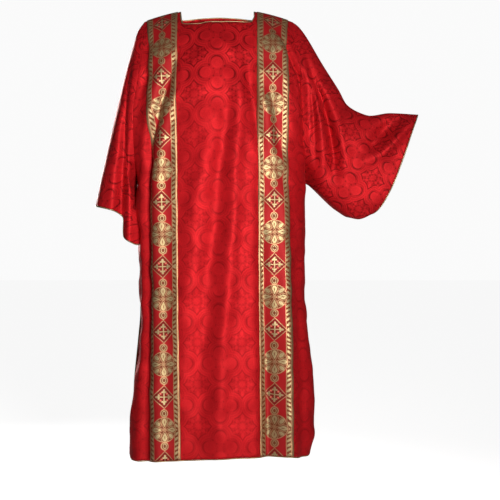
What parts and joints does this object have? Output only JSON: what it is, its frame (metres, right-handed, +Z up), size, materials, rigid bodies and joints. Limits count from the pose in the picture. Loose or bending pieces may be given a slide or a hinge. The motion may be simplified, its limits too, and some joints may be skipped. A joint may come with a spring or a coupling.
{
  "type": "dalmatic",
  "caption": "Wide-sleeved church vestment with galloon bands and side slits, as worn, with nobody in it",
  "frame": {"origin": "middle of the neck opening, on the line of the shoulder seams, where the wearer's shoulders carry the garment", "axes": "+Z up, -Y to the garment's front, +X to the wearer's left"},
  "size_m": [0.9027, 0.3642, 1.2387],
  "materials": {
    "damask": "satin damask with a tone-on-tone figure",
    "galloon": "woven metallic gold band with red grounds",
    "piping": "twisted metallic gold cord"
  },
  "bodies": {
    "root": {"front": "damask", "front_side_left": "damask", "front_side_right": "damask", "back": "damask", "back_side_left": "damask", "back_side_right": "damask", "sleeve_left": "damask", "sleeve_right": "damask", "orphrey_front_left": "galloon", "orphrey_front_right": "galloon", "orphrey_back_left": "galloon", "orphrey_back_right": "galloon", "piping_neck": "piping", "piping_cuff_left": "piping", "piping_cuff_right": "piping", "piping_hem_front": "piping", "piping_hem_back": "piping"}
  },
  "joints": []
}
